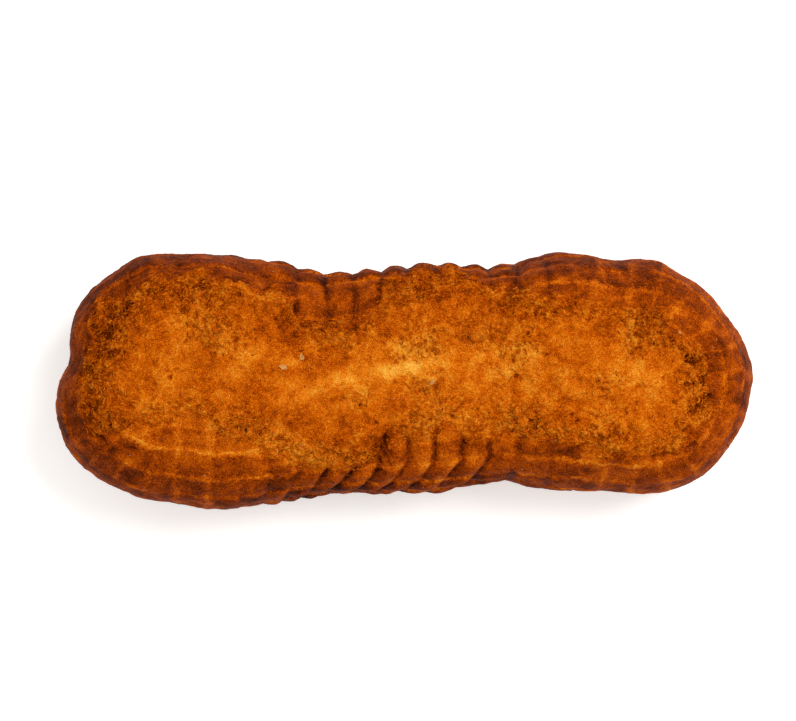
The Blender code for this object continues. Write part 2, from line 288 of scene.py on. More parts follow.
# The split top: raised crumb inside a torn edge
splitTop = {
    "rise": 0.9 * mm,
    "coarse": (0.55 * mm, 310),  # height, and how many times a metre
    "curl": 0.55 * mm,
    "curlSize": 1.5 * mm,
    "curlBend": (0.6, 2.5 * mm),
    "grain": 0.28 * mm,
    "grainSize": 0.75 * mm,
    "swell": (0.7 * mm, 75),
    "edgeSoftness": (0.025, 0.08),  # behind the left lobe, where its lip stands up, and elsewhere
    "edgeWander": ((0.10, 180), (0.06, 480)),
    "clumpSize": 2.1 * mm,
    "clumpBend": (0.7 * mm, 700),
    "clumpRise": 0.55 * mm,
    "crackDepth": 0.35 * mm,
    "roughestBand": (-0.10, 0.16),  # its middle and spread beyond the edge, in half widths
    "roughPatches": 95,
    "edges": {  # side (+1 is +Y): place round the rim, share of the half width where the skin stops
        1: [(-85 * mm, 0.74), (-62 * mm, 0.78), (-40 * mm, 0.80), (-25 * mm, 0.74), (-19 * mm, 0.56),
            (-12 * mm, 0.49), (-7 * mm, 0.62), (-2 * mm, 0.86), (8 * mm, 0.91), (18 * mm, 0.80),
            (30 * mm, 0.64), (45 * mm, 0.54), (65 * mm, 0.52), (85 * mm, 0.58)],
        -1: [(-85 * mm, 0.74), (-70 * mm, 0.66), (-61 * mm, 0.30), (-40 * mm, 0.29), (-29 * mm, 0.47),
             (-21 * mm, 0.64), (-12 * mm, 0.73), (-5 * mm, 0.68), (0 * mm, 0.50), (7 * mm, 0.44),
             (15 * mm, 0.53), (30 * mm, 0.60), (46 * mm, 0.66), (65 * mm, 0.68), (85 * mm, 0.58)],
    },
    "tearRaggedness": (0.8, 900),
    "smooth": [  # x, y, half length, half width, turn in degrees, share of the roughness lost
        (-0.6 * mm, 2.4 * mm, 10.0 * mm, 2.2 * mm, 7, 0.9),
        (-13.0 * mm, 0.2 * mm, 6.0 * mm, 2.4 * mm, 4, 0.6),
        (-22.0 * mm, -0.5 * mm, 5.0 * mm, 3.5 * mm, 0, 0.5),
        (41.0 * mm, 3.4 * mm, 8.0 * mm, 3.0 * mm, -20, 0.6),
        (18.0 * mm, 4.0 * mm, 6.0 * mm, 2.5 * mm, 0, 0.4),
    ],
    "hollows": [  # x, y, half length, half width, turn in degrees, depth
        (-58 * mm, 10 * mm, 9.0 * mm, 2.8 * mm, 58, 1.1 * mm),
        (-22 * mm, 9 * mm, 4.5 * mm, 3.5 * mm, 0, 0.9 * mm),
        (-14 * mm, 14 * mm, 7.0 * mm, 5.0 * mm, 0, 0.9 * mm),
        (-5 * mm, -13 * mm, 5.0 * mm, 1.4 * mm, 65, 1.5 * mm),
        (60 * mm, 2 * mm, 7.0 * mm, 1.9 * mm, 105, 1.2 * mm),
        (20 * mm, 15 * mm, 6.0 * mm, 1.8 * mm, 80, 0.7 * mm),
        (27 * mm, -7 * mm, 12.0 * mm, 2.5 * mm, 8, 0.5 * mm),
        (-30 * mm, -2 * mm, 6.0 * mm, 2.0 * mm, 20, 0.5 * mm),
    ],
    "tears": [  # where the crumb ripped open, likewise
        (-54.3 * mm, 14.3 * mm, 1.6 * mm, 0.8 * mm, 40, 0.9 * mm),
        (-57.4 * mm, 9.8 * mm, 1.9 * mm, 1.1 * mm, 60, 1.1 * mm),
        (-56.6 * mm, 5.4 * mm, 1.7 * mm, 0.9 * mm, 15, 0.9 * mm),
        (-59.4 * mm, 4.6 * mm, 1.5 * mm, 0.8 * mm, -10, 0.9 * mm),
        (-62.2 * mm, 2.4 * mm, 2.0 * mm, 0.9 * mm, 35, 0.9 * mm),
        (-60.5 * mm, -1.5 * mm, 1.4 * mm, 0.7 * mm, 60, 0.7 * mm),
        (55.7 * mm, 4.5 * mm, 2.0 * mm, 1.0 * mm, -20, 1.2 * mm),
        (58.0 * mm, 0.4 * mm, 1.4 * mm, 0.9 * mm, 80, 1.1 * mm),
        (58.6 * mm, -3.0 * mm, 1.7 * mm, 0.8 * mm, 10, 1.2 * mm),
        (56.0 * mm, -5.2 * mm, 1.6 * mm, 0.9 * mm, 60, 1.1 * mm),
        (51.0 * mm, -14.0 * mm, 2.2 * mm, 0.7 * mm, 15, 0.9 * mm),
        (55.9 * mm, -12.4 * mm, 1.4 * mm, 0.8 * mm, 40, 0.9 * mm),
        (-4.0 * mm, -12.4 * mm, 2.0 * mm, 0.6 * mm, 84, 0.9 * mm),
        (-21.0 * mm, 15.5 * mm, 1.3 * mm, 0.6 * mm, 80, 0.6 * mm),
        (-60.0 * mm, -10.5 * mm, 2.0 * mm, 0.5 * mm, -25, 0.5 * mm),
        (-53.0 * mm, -13.0 * mm, 1.2 * mm, 0.45 * mm, -15, 0.4 * mm),
        (23.0 * mm, 12.5 * mm, 1.2 * mm, 0.7 * mm, 60, 0.9 * mm),
    ],
}


def crumbShare(place, direction, share, point):  # crumb or skin, and how far outside the edge
    if direction.z < 0:
        return 0.0, 1.0
    north = ease(-0.3, 0.3, direction.y)
    back, front = [valuesAt(splitTop["edges"][side], place)[0] for side in (1, -1)]
    edge = back * north + front * (1 - north)
    for amount, fineness in splitTop["edgeWander"]:
        edge += amount * noise.noise(point * fineness)
    faded = max(1 - north, ease(-30 * mm, -15 * mm, place))
    soft = between(splitTop["edgeSoftness"], faded)
    return 1 - ease(edge - soft, edge + soft, share), share - edge


def spotShares(spots, point):  # each soft oval spot's share of 1 there, with its last number
    for x, y, halfLong, halfWide, turn, strength in spots:
        awayX, awayY = point.x - x, point.y - y
        if abs(awayX) + abs(awayY) > 4 * halfLong:  # too far off to count
            continue
        cos, sin = math.cos(math.radians(turn)), math.sin(math.radians(turn))
        along = (awayX * cos + awayY * sin) / halfLong
        aside = (awayY * cos - awayX * sin) / halfWide
        yield math.exp(-(along**2) - aside**2), strength


def spotSum(spots, point):
    return sum(share * strength for share, strength in spotShares(spots, point))


def tearAt(point):  # how torn open the crumb is there, and how deep
    amount, fineness = splitTop["tearRaggedness"]
    ragged = amount * noise.noise(point * fineness)
    torn = [(ease(0.25, 0.6, share + ragged * share**0.5), deep)
            for share, deep in spotShares(splitTop["tears"], point)]
    return max(torn, key=lambda pair: pair[0] * pair[1], default=(0.0, 0.0))


def clumpAt(point):  # knobs of crumb packed side by side, and the cracks between them
    amount, fineness = splitTop["clumpBend"]
    bent = point + noise.noise_vector(point * fineness) * amount
    distances = noise.voronoi(bent / splitTop["clumpSize"])[0]
    crack = 1 - ease(0.0, 0.25, distances[1] - distances[0])
    return 0.5 - distances[0], crack


# Open pores of the crumb, thickest where the dough tore at the two ends
pores = {
    "spacing": 1.4 * mm,
    "depth": 1.0 * mm,
    "ragged": (0.5 * mm, 0.8 * mm),  # how far the rims wander, and how finely
    "few": 0.008,  # share of them open where no zone is
    "zones": [  # x, y, half length, half width, turn in degrees, share of pores open
        (-58 * mm, 9 * mm, 11 * mm, 3.5 * mm, 58, 0.75),
        (-59 * mm, -10 * mm, 5 * mm, 2 * mm, 0, 0.35),
        (57 * mm, -3 * mm, 4 * mm, 9 * mm, 0, 0.7),
        (56 * mm, -15 * mm, 7 * mm, 2.5 * mm, 20, 0.35),
        (-5 * mm, -11 * mm, 5 * mm, 2 * mm, 65, 0.4),
        (22 * mm, 9 * mm, 6 * mm, 3 * mm, 80, 0.25),
        (-22 * mm, 9 * mm, 5 * mm, 3 * mm, 0, 0.2),
        (30 * mm, -7 * mm, 9 * mm, 3 * mm, 5, 0.2),
    ],
}


def poreAt(point, crumb):  # 1 in the middle of an open pore
    if crumb < 0.3 or point.z < stick["spineZ"]:
        return 0.0
    amount, size = pores["ragged"]
    ragged = noise.noise_vector(point / size) * amount
    distances, centres = noise.voronoi((point + ragged) / pores["spacing"])
    if chance(centres[0] * 9.7) > pores["few"] + spotSum(pores["zones"], point):
        return 0.0
    radius = 0.22 + 0.3 * chance(centres[0] * 5.3)
    return crumb * (1 - ease(0.3 * radius, radius, distances[0]))


# How long each place browned, with painted light and painted shade laid over it: 0 is the darkest pit and
# 1 the palest crumb
browningAndPaintedLight = {
    "rim": 0.34,
    "paintedBrinkLight": 0.03,  # painted light on the steep wall, which the light only grazes
    "middle": 0.57,
    # painted light: lighter towards the right end, the side the window lamp shines from
    "paintedLightTowardsRight": 0.03,
    "leftBackWall": -0.04,
    "lip": (0.06, -0.04, 0.035),  # painted highlight along the torn lip: change, and its middle and spread beyond the edge
    # painted shade in the open pores and torn hollows
    "pore": -0.24,
    "paintedTearShade": -0.14,
    # lighter where curls, grain and knobs stand up, darker in the cracks between knobs: painted light and
    # painted shade
    "curl": 0.08,
    "grain": 0.05,
    "clump": 0.09,
    "crack": -0.07,
    "spots": [  # x, y, half length, half width, turn in degrees, change
        (-0.6 * mm, 2.4 * mm, 9.5 * mm, 1.7 * mm, 7, 0.27),
        (-12.5 * mm, 0.2 * mm, 5.0 * mm, 2.0 * mm, 4, 0.14),
        (-20.0 * mm, -2.1 * mm, 3.2 * mm, 3.2 * mm, 0, 0.10),
        (-23.0 * mm, 3.7 * mm, 2.2 * mm, 1.2 * mm, 10, 0.14),
        (-38.0 * mm, 7.0 * mm, 9.0 * mm, 5.0 * mm, 10, 0.07),
        (-46.0 * mm, 0.2 * mm, 10.0 * mm, 4.5 * mm, -5, 0.03),
        (-30.0 * mm, 5.0 * mm, 6.0 * mm, 2.4 * mm, 18, 0.12),
        (17.0 * mm, 5.0 * mm, 9.0 * mm, 3.0 * mm, 0, 0.13),
        (24.5 * mm, 2.0 * mm, 2.0 * mm, 2.5 * mm, 0, -0.06),
        (24.5 * mm, -1.5 * mm, 3.5 * mm, 1.8 * mm, -30, 0.09),
        (-5.5 * mm, 6.5 * mm, 2.5 * mm, 4.0 * mm, 20, 0.11),
        (7.0 * mm, -8.5 * mm, 3.0 * mm, 1.8 * mm, 20, 0.09),
        (39.5 * mm, 4.0 * mm, 6.5 * mm, 2.8 * mm, -28, 0.12),
        (45.0 * mm, 1.8 * mm, 5.0 * mm, 3.0 * mm, 0, 0.08),
        (-57.0 * mm, 12.5 * mm, 2.5 * mm, 3.0 * mm, 0, 0.08),
        (-61.5 * mm, 4.0 * mm, 2.5 * mm, 4.0 * mm, 0, 0.08),
        (-53.0 * mm, -12.0 * mm, 3.0 * mm, 2.5 * mm, 0, 0.10),
        (-44.0 * mm, -21.5 * mm, 11.0 * mm, 2.5 * mm, -5, -0.09),
        (3.0 * mm, 7.0 * mm, 5.0 * mm, 3.0 * mm, 0, 0.19),
        (-29.0 * mm, 2.2 * mm, 4.0 * mm, 2.0 * mm, 20, -0.10),
        (-28.5 * mm, -2.0 * mm, 3.0 * mm, 2.0 * mm, 0, 0.08),
        (-29.0 * mm, 22.0 * mm, 4.0 * mm, 3.0 * mm, 0, 0.08),
        (-20.0 * mm, 1.5 * mm, 4.0 * mm, 3.0 * mm, 0, -0.06),
        (-39.0 * mm, 2.0 * mm, 4.0 * mm, 4.0 * mm, 0, -0.10),
        (-60.0 * mm, -6.0 * mm, 5.0 * mm, 3.5 * mm, 0, -0.10),
        (38.0 * mm, 8.5 * mm, 3.5 * mm, 4.0 * mm, 0, -0.09),
        (31.0 * mm, 14.5 * mm, 5.0 * mm, 2.0 * mm, 0, -0.07),
        (55.0 * mm, 13.5 * mm, 3.0 * mm, 1.8 * mm, -20, 0.22),
        (40.0 * mm, -6.0 * mm, 4.0 * mm, 4.0 * mm, 0, 0.14),
        (-38.0 * mm, -14.0 * mm, 7.0 * mm, 2.5 * mm, 10, 0.12),
        (-20.0 * mm, -15.0 * mm, 6.0 * mm, 2.0 * mm, 5, 0.11),
        (6.0 * mm, -13.0 * mm, 7.0 * mm, 3.0 * mm, 5, 0.13),
        (23.0 * mm, -10.5 * mm, 4.0 * mm, 2.0 * mm, 0, 0.08),
        (-15.0 * mm, 17.5 * mm, 5.0 * mm, 2.0 * mm, 0, 0.07),
        (-28.0 * mm, 18.5 * mm, 4.0 * mm, 3.0 * mm, 0, 0.14),
        (-47.0 * mm, -18.0 * mm, 13.0 * mm, 4.0 * mm, -12, -0.07),
        (-57.0 * mm, -13.0 * mm, 5.0 * mm, 4.0 * mm, 0, -0.08),
        (50.0 * mm, -13.5 * mm, 6.0 * mm, 2.0 * mm, 15, 0.11),
        (57.0 * mm, -16.0 * mm, 6.0 * mm, 2.0 * mm, 40, -0.09),
        (46.0 * mm, 19.5 * mm, 10.0 * mm, 2.5 * mm, -8, -0.09),
        (57.0 * mm, 9.0 * mm, 3.0 * mm, 5.0 * mm, 20, -0.06),
        (5.0 * mm, 12.0 * mm, 5.0 * mm, 3.0 * mm, 20, 0.10),
        (-44.0 * mm, 11.0 * mm, 7.0 * mm, 3.0 * mm, 12, 0.13),
        (-36.0 * mm, 14.0 * mm, 5.0 * mm, 2.5 * mm, -15, 0.08),
        (-60.0 * mm, 10.0 * mm, 3.0 * mm, 5.0 * mm, -30, -0.06),
        (-27.0 * mm, -12.0 * mm, 6.0 * mm, 2.0 * mm, -10, 0.07),
        (-36.5 * mm, -14.0 * mm, 2.0 * mm, 2.5 * mm, 0, -0.09),
        (-42.0 * mm, -8.0 * mm, 3.0 * mm, 2.0 * mm, 0, -0.08),
        (-3.5 * mm, 16.0 * mm, 1.8 * mm, 3.5 * mm, 0, 0.12),
        (-13.0 * mm, 15.0 * mm, 7.0 * mm, 4.0 * mm, 0, 0.12),
        (34.0 * mm, 1.0 * mm, 3.0 * mm, 4.0 * mm, 0, -0.08),
        (2.0 * mm, -6.5 * mm, 5.0 * mm, 1.8 * mm, 10, 0.08),
        (17.0 * mm, -8.0 * mm, 4.0 * mm, 2.0 * mm, -15, 0.08),
        (55.5 * mm, -6.0 * mm, 2.5 * mm, 3.0 * mm, 0, 0.24),
        (-23.5 * mm, 11.0 * mm, 5.0 * mm, 3.5 * mm, 0, -0.16),
        (-13.0 * mm, 14.0 * mm, 8.0 * mm, 4.5 * mm, 0, -0.10),
        (-3.5 * mm, -12.5 * mm, 4.0 * mm, 2.5 * mm, 65, -0.15),
        (5.0 * mm, -4.0 * mm, 9.0 * mm, 3.0 * mm, 10, -0.05),
        (31.0 * mm, -7.0 * mm, 11.0 * mm, 3.0 * mm, 5, -0.09),
        (57.0 * mm, -3.0 * mm, 4.0 * mm, 7.0 * mm, 0, -0.08),
        (29.0 * mm, 12.5 * mm, 6.0 * mm, 1.8 * mm, 5, 0.09),
        (4.0 * mm, -15.5 * mm, 6.0 * mm, 2.5 * mm, 0, 0.14),
        (12.0 * mm, -5.5 * mm, 4.0 * mm, 2.5 * mm, 40, 0.09),
        (36.0 * mm, -9.0 * mm, 24.0 * mm, 5.0 * mm, 0, 0.05),
        (-22.0 * mm, -14.0 * mm, 14.0 * mm, 4.0 * mm, 0, 0.04),
        (49.0 * mm, 13.0 * mm, 2.5 * mm, 1.6 * mm, 0, -0.10),
        (37.0 * mm, -9.0 * mm, 5.0 * mm, 2.5 * mm, 0, 0.07),
        (39.5 * mm, 12.5 * mm, 2.5 * mm, 2.5 * mm, 0, -0.09),
        (36.0 * mm, 19.0 * mm, 2.0 * mm, 3.0 * mm, 0, -0.09),
        (-60.0 * mm, 14.0 * mm, 3.0 * mm, 3.0 * mm, 0, -0.08),
        (-45.5 * mm, -7.5 * mm, 5.0 * mm, 2.0 * mm, 65, 0.06),
        (-8.5 * mm, 10.0 * mm, 1.8 * mm, 4.0 * mm, 0, -0.07),
        (-31.0 * mm, 9.5 * mm, 4.0 * mm, 3.0 * mm, 0, 0.07),
        (44.3 * mm, 10.3 * mm, 2.2 * mm, 3.4 * mm, 0, 0.24),
        (-25.0 * mm, -4.5 * mm, 4.0 * mm, 2.5 * mm, 0, -0.06),
        (28.0 * mm, -3.5 * mm, 4.0 * mm, 3.0 * mm, 0, -0.06),
        (12.0 * mm, 11.5 * mm, 4.0 * mm, 2.0 * mm, -30, 0.08),
        (-9.0 * mm, 19.0 * mm, 3.0 * mm, 1.5 * mm, 0, -0.09),
        (48.0 * mm, 22.0 * mm, 4.0 * mm, 2.5 * mm, 0, -0.08),
        (61.0 * mm, 2.0 * mm, 2.5 * mm, 7.0 * mm, 0, -0.07),
        (17.5 * mm, -15.5 * mm, 4.0 * mm, 3.0 * mm, 0, 0.12),
        (-26.0 * mm, -18.0 * mm, 3.0 * mm, 2.0 * mm, 0, -0.09),
        (-6.0 * mm, -17.5 * mm, 5.0 * mm, 1.5 * mm, 0, 0.07),
        (-40.0 * mm, -16.5 * mm, 3.0 * mm, 3.0 * mm, 0, 0.12),
        (-51.0 * mm, -3.5 * mm, 6.0 * mm, 2.5 * mm, 80, 0.07),
        (-30.0 * mm, 24.0 * mm, 5.0 * mm, 2.5 * mm, 0, 0.05),
        (-50.5 * mm, 13.0 * mm, 5.0 * mm, 1.8 * mm, 80, -0.09),
        (-48.0 * mm, 3.0 * mm, 4.0 * mm, 2.0 * mm, 80, -0.05),
        (10.5 * mm, 7.0 * mm, 3.0 * mm, 2.5 * mm, 0, -0.10),
        (20.5 * mm, 2.5 * mm, 4.0 * mm, 1.6 * mm, 80, 0.12),
        (52.0 * mm, 9.0 * mm, 4.0 * mm, 3.0 * mm, -50, -0.11),
        (-10.5 * mm, 16.5 * mm, 3.0 * mm, 1.6 * mm, 0, 0.14),
        (-16.0 * mm, 9.5 * mm, 5.0 * mm, 1.6 * mm, 0, 0.10),
        (2.0 * mm, 6.5 * mm, 3.0 * mm, 1.8 * mm, 0, 0.10),
        (55.5 * mm, -1.0 * mm, 3.0 * mm, 2.0 * mm, 0, 0.09),
        (4.0 * mm, -16.0 * mm, 5.0 * mm, 1.8 * mm, 0, 0.08),
        (-24.0 * mm, -12.0 * mm, 4.0 * mm, 2.0 * mm, -30, 0.10),
        (-28.0 * mm, 9.0 * mm, 6.0 * mm, 1.8 * mm, 30, 0.07),
        (-11.5 * mm, -20.5 * mm, 4.0 * mm, 1.8 * mm, 0, -0.10),
        (-11.0 * mm, -8.0 * mm, 4.0 * mm, 1.8 * mm, 80, -0.07),
        (-23.0 * mm, 8.5 * mm, 1.8 * mm, 4.0 * mm, 0, -0.08),
        (-8.5 * mm, 14.5 * mm, 2.0 * mm, 3.5 * mm, 0, -0.10),
        (42.0 * mm, 4.0 * mm, 4.0 * mm, 1.6 * mm, -50, -0.08),
        (62.0 * mm, 6.5 * mm, 1.8 * mm, 1.8 * mm, 0, -0.09),
        (40.5 * mm, 17.5 * mm, 3.0 * mm, 1.8 * mm, 0, 0.10),
        (19.5 * mm, 18.0 * mm, 3.0 * mm, 1.8 * mm, 30, 0.10),
        (-14.0 * mm, -16.5 * mm, 6.0 * mm, 1.8 * mm, 0, 0.07),
        (-29.0 * mm, -5.0 * mm, 4.0 * mm, 3.0 * mm, 0, -0.05),
        (24.0 * mm, 9.5 * mm, 2.5 * mm, 4.5 * mm, 0, 0.07),
        (18.0 * mm, 10.5 * mm, 2.0 * mm, 1.8 * mm, 0, -0.09),
        (-43.5 * mm, -22.0 * mm, 2.5 * mm, 2.0 * mm, 0, 0.10),
        (-45.0 * mm, -9.0 * mm, 2.0 * mm, 4.0 * mm, -30, 0.06),
    ],
}


def dressPoint(spineX, direction, share, point):  # how far it stands out, and its looks
    place = rimPlace(spineX, direction)
    above = direction.z > 0
    crumb, beyondEdge = crumbShare(place, direction, share, point)
    amount, fineness = splitTop["swell"]
    height = amount * noise.fractal(point * fineness, 1.0, 2.0, 2)
    height += swellAt(place, direction) * share**2
    scale = scaleAt(place, direction, point)
    shade, looks = scaleLooks(scale, place)
    height += scaleHeight(scale, point) * (1 - crumb)
    amount, fineness = splitTop["coarse"]
    coarse = amount * noise.fractal(point * fineness, 0.8, 2.1, 3)
    middle, spread = splitTop["roughestBand"]
    rim = math.exp(-(((beyondEdge - middle) / spread) ** 2))
    patches = ease(-0.25, 0.35, noise.noise(point * splitTop["roughPatches"]))
    roughness = max(rim * (0.5 + 0.5 * patches), 0.16 + 0.5 * patches)
    roughness = 0.15 + 0.85 * roughness * ease(0.12, -0.06, beyondEdge)
    if above:
        roughness *= 1 - min(0.9, spotSum(splitTop["smooth"], point))
    amount, size = splitTop["curlBend"]
    bend = noise.noise_vector(point / size) * amount
    curl = 1 - 2.4 * abs(noise.noise(point / splitTop["curlSize"] + bend))
    grain = noise.noise(point / splitTop["grainSize"])
    height += (splitTop["rise"] + coarse) * crumb
    height += (splitTop["curl"] * curl + splitTop["grain"] * grain) * roughness
    torn = 0.0
    if above:
        torn, deep = tearAt(point)
        height -= (spotSum(splitTop["hollows"], point) + torn * deep) * ease(0.2, 0.5, direction.z)
    pore = poreAt(point, crumb)
    height -= pores["depth"] * pore
    clump, crack = clumpAt(point) if crumb > 0.05 else (0.0, 0.0)
    height += (splitTop["clumpRise"] * clump - splitTop["crackDepth"] * crack) * crumb * roughness
    inward = max(0.0, 1 - share) ** 0.8 if above else 0.0
    tone = between((browningAndPaintedLight["rim"], browningAndPaintedLight["middle"]), inward)
    # painted light: lighter on the steep wall and all of the underside, which the light only grazes
    tone += browningAndPaintedLight["paintedBrinkLight"] * (ease(0.86, 1.0, share) if above else 1.0)
    # painted light, lighter towards the right end
    tone += browningAndPaintedLight["paintedLightTowardsRight"] * ease(-60 * mm, 60 * mm, point.x)
    wall = ease(0.55, 0.95, share) if above else 1.0
    wall *= ease(-0.2, 0.3, direction.y) * ease(-10 * mm, -30 * mm, place)
    # the scales' own browning and their painted shade, on the skin only
    tone += (browningAndPaintedLight["leftBackWall"] * wall + shade) * (1 - crumb)
    # painted shade in the pores and tears
    tone += browningAndPaintedLight["pore"] * pore + browningAndPaintedLight["paintedTearShade"] * torn
    # painted light on raised curls, grain and knobs, painted shade in the cracks
    knobs = {"curl": curl, "grain": grain, "clump": clump, "crack": crack}
    tone += sum(browningAndPaintedLight[name] * value for name, value in knobs.items()) * roughness
    # painted highlight along the torn lip, just inside the crumb's edge
    change, middle, spread = browningAndPaintedLight["lip"]
    tone += change * crumb * math.exp(-(((beyondEdge - middle) / spread) ** 2))
    if above:
        tone += spotSum(browningAndPaintedLight["spots"], point)
    return height, {"crumb": crumb, "tone": tone, "rough": roughness, **looks}


def makeStick():
    net = boxNet([cells // 1 for cells in stick["cells"]])
    places = []
    for vert in net.verts:
        spineX, direction = unroll(vert.co)
        vert.co, share = bodyPoint(spineX, direction)
        places.append((spineX, direction, share))
    net.normal_update()
    normals = [vert.normal.copy() for vert in net.verts]
    values = {}
    for vert, normal, (spineX, direction, share) in zip(net.verts, normals, places):
        height, looks = dressPoint(spineX, direction, share, vert.co)
        vert.co += normal * height
        for name, value in looks.items():
            values.setdefault(name, []).append(value)
    mesh = bpy.data.meshes.new("crullerCrust")
    net.to_mesh(mesh)
    net.free()
    for name, numbers in values.items():
        mesh.attributes.new(name, "FLOAT", "POINT").data.foreach_set("value", numbers)
    print("stick:", len(mesh.polygons), "squares shaped")
    settle(mesh)
    mesh = thinned(mesh)
    mesh.shade_smooth()
    crust = bpy.data.objects.new("crullerCrust", mesh)
    bpy.context.scene.collection.objects.link(crust)
    print("stick:", len(mesh.polygons), "faces kept")
    return crust


def settle(mesh):  # onto the solid's box, with the underside no lower than the ground
    for axis in (0, 1):
        low = min(vert.co[axis] for vert in mesh.vertices)
        high = max(vert.co[axis] for vert in mesh.vertices)
        scale = (cadHigh[axis] - cadLow[axis]) / (high - low)
        for vert in mesh.vertices:
            vert.co[axis] = cadLow[axis] + (vert.co[axis] - low) * scale
    for vert in mesh.vertices:
        vert.co.z = max(0.0, vert.co.z)


def thinned(mesh):  # the same surface with fewer triangles where it is smooth
    maker = bpy.data.objects.new("maker", mesh)
    bpy.context.scene.collection.objects.link(maker)
    modifier = maker.modifiers.new("thin", "DECIMATE")
    modifier.ratio = stick["triangles"] / (2 * len(mesh.polygons))
    modifier.use_collapse_triangulate = True
    graph = bpy.context.evaluated_depsgraph_get()
    lean = bpy.data.meshes.new_from_object(maker.evaluated_get(graph))
    bpy.data.objects.remove(maker)
    return lean


# What stands up where the dough ripped: knobbly granules, and thin torn curls between them
granules = {
    "count": 4500,
    "seed": 3,
    "reach": (0.09 * mm, 0.27 * mm),
    "flatness": (0.2, 0.42),
    "uneven": 0.3,
    # painted shade at each granule's foot and painted light on its crest
    "paintedFootShade": -0.12,
    "paintedCrestLight": 0.04,
}
curls = {
    "count": 5000,
    "seed": 11,
    "length": (0.6 * mm, 1.7 * mm),
    "height": (0.12 * mm, 0.34 * mm),
    "width": (0.09 * mm, 0.17 * mm),
    "profile": (0.35, 1.0, 0.85, 0.3),  # its height and width from end to end
    "bend": 2.4,  # radians from one end to the other
    "lean": 0.7,
    "uneven": 0.3,
    "sunk": 0.12 * mm,
    # painted shade at each curl's foot and painted light on its crest
    "paintedFootShade": -0.14,
    "paintedCrestLight": 0.19,
}
sowing = {
    "rougherThan": 0.2,
    "crowding": 1.3,  # exponent: how much more of them where it is roughest
    "palest": {"granules": 0.56, "curls": 0.72},
}


def sown(crust, sort, dice):  # places on the torn crumb: point, outward, heading, tone, roughness
    mesh = crust.data
    rough, tone = mesh.attributes["rough"].data, mesh.attributes["tone"].data
    faces = [face for face in mesh.polygons if face.center.z > stick["spineZ"]]
    over = [max(0.0, rough[face.vertices[0]].value - sowing["rougherThan"]) for face in faces]
    weights = [share ** sowing["crowding"] * face.area for share, face in zip(over, faces)]
    spineHalf = stick["spineHalf"]
    for face in dice.choices(faces, weights, k=sort["count"] // 1):
        inside = Vector((max(-spineHalf, min(spineHalf, face.center.x)), 0.0, stick["spineZ"]))
        outward = (face.center - inside).normalized()
        heading = outward.orthogonal().normalized()
        heading.rotate(Matrix.Rotation(dice.uniform(0, math.tau), 3, outward))
        corner = face.vertices[0]
        yield face.center, outward, heading, tone[corner].value, rough[corner].value


def sownPiece(name, verts, tris, tones):
    mesh = bpy.data.meshes.new(name)
    mesh.from_pydata(verts, [], tris)
    full = [1.0] * len(verts)
    for key, numbers in {"tone": tones, "crumb": full, "rough": full}.items():
        mesh.attributes.new(key, "FLOAT", "POINT").data.foreach_set("value", numbers)
    piece = bpy.data.objects.new(name, mesh)
    bpy.context.scene.collection.objects.link(piece)
    print(name, len(tris), "triangles")
    return piece


def makeGranules(crust):
    ball = bmesh.new()
    bmesh.ops.create_icosphere(ball, subdivisions=1, radius=1.0)
    corners = [vert.co.copy() for vert in ball.verts]
    sides = [[vert.index for vert in face.verts] for face in ball.faces]
    ball.free()
    dice = random.Random(granules["seed"])
    verts, tris, tones = [], [], []
    palest = sowing["palest"]["granules"]
    for at, up, heading, base, rough in sown(crust, granules, dice):
        reach = dice.uniform(*granules["reach"]) * min(1.0, 0.4 + rough)
        across = up.cross(heading) * dice.uniform(0.5, 1.0)
        rise = up * dice.uniform(*granules["flatness"])
        first = len(verts)
        for corner in corners:
            size = reach * (1 + dice.uniform(-1, 1) * granules["uneven"])
            verts.append(at + (heading * corner.x + across * corner.y + rise * corner.z) * size)
            # painted shade low on the granule, painted light high on it
            shift = between((granules["paintedFootShade"], granules["paintedCrestLight"]), 0.5 + 0.5 * corner.z)
            tones.append(min(palest, base + shift))
        tris += [tuple([first + index for index in side]) for side in sides]
    return sownPiece("crumbGranules", verts, tris, tones)


def makeCurls(crust):
    dice = random.Random(curls["seed"])
    verts, tris, tones = [], [], []
    palest = sowing["palest"]["curls"]
    for centre, up, heading, base, rough in sown(crust, curls, dice):
        length, height, width = [dice.uniform(*curls[key]) for key in ("length", "height", "width")]
        height *= min(1.0, 0.35 + rough)
        bend = dice.uniform(-1, 1) * curls["bend"]
        lean = dice.uniform(-curls["lean"], curls["lean"])
        step = length / 3
        at = centre - heading * (length / 2) - up * curls["sunk"]
        first = len(verts)
        for swell in curls["profile"]:
            aside = up.cross(heading)
            crest = up * (height * swell + curls["sunk"]) + aside * (lean * height)
            crest += heading * dice.uniform(-curls["uneven"], curls["uneven"]) * step
            verts += [at + aside * width * swell, at - aside * width * swell, at + crest]
            # painted shade at the curl's foot, painted light on its crest
            foot, top = base + curls["paintedFootShade"], min(palest, base + curls["paintedCrestLight"])
            tones += [foot, foot, top]
            heading = heading.copy()
            heading.rotate(Matrix.Rotation(bend / 3, 3, up))
            at = at + heading * step
        for ring in range(3):
            for side in range(3):
                a, b = first + 3 * ring + side, first + 3 * ring + (side + 1) % 3
                tris += [(a, b, b + 3), (a, b + 3, a + 3)]
        tris += [(first + 2, first + 1, first), (first + 9, first + 10, first + 11)]
    return sownPiece("tornCurls", verts, tris, tones)


def toLinear(colour):
    channels = [int(colour[i:i + 2], 16) / 255 for i in (1, 3, 5)]
    linear = [c / 12.92 if c <= 0.04045 else ((c + 0.055) / 1.055) ** 2.4 for c in channels]
    return (*linear, 1.0)


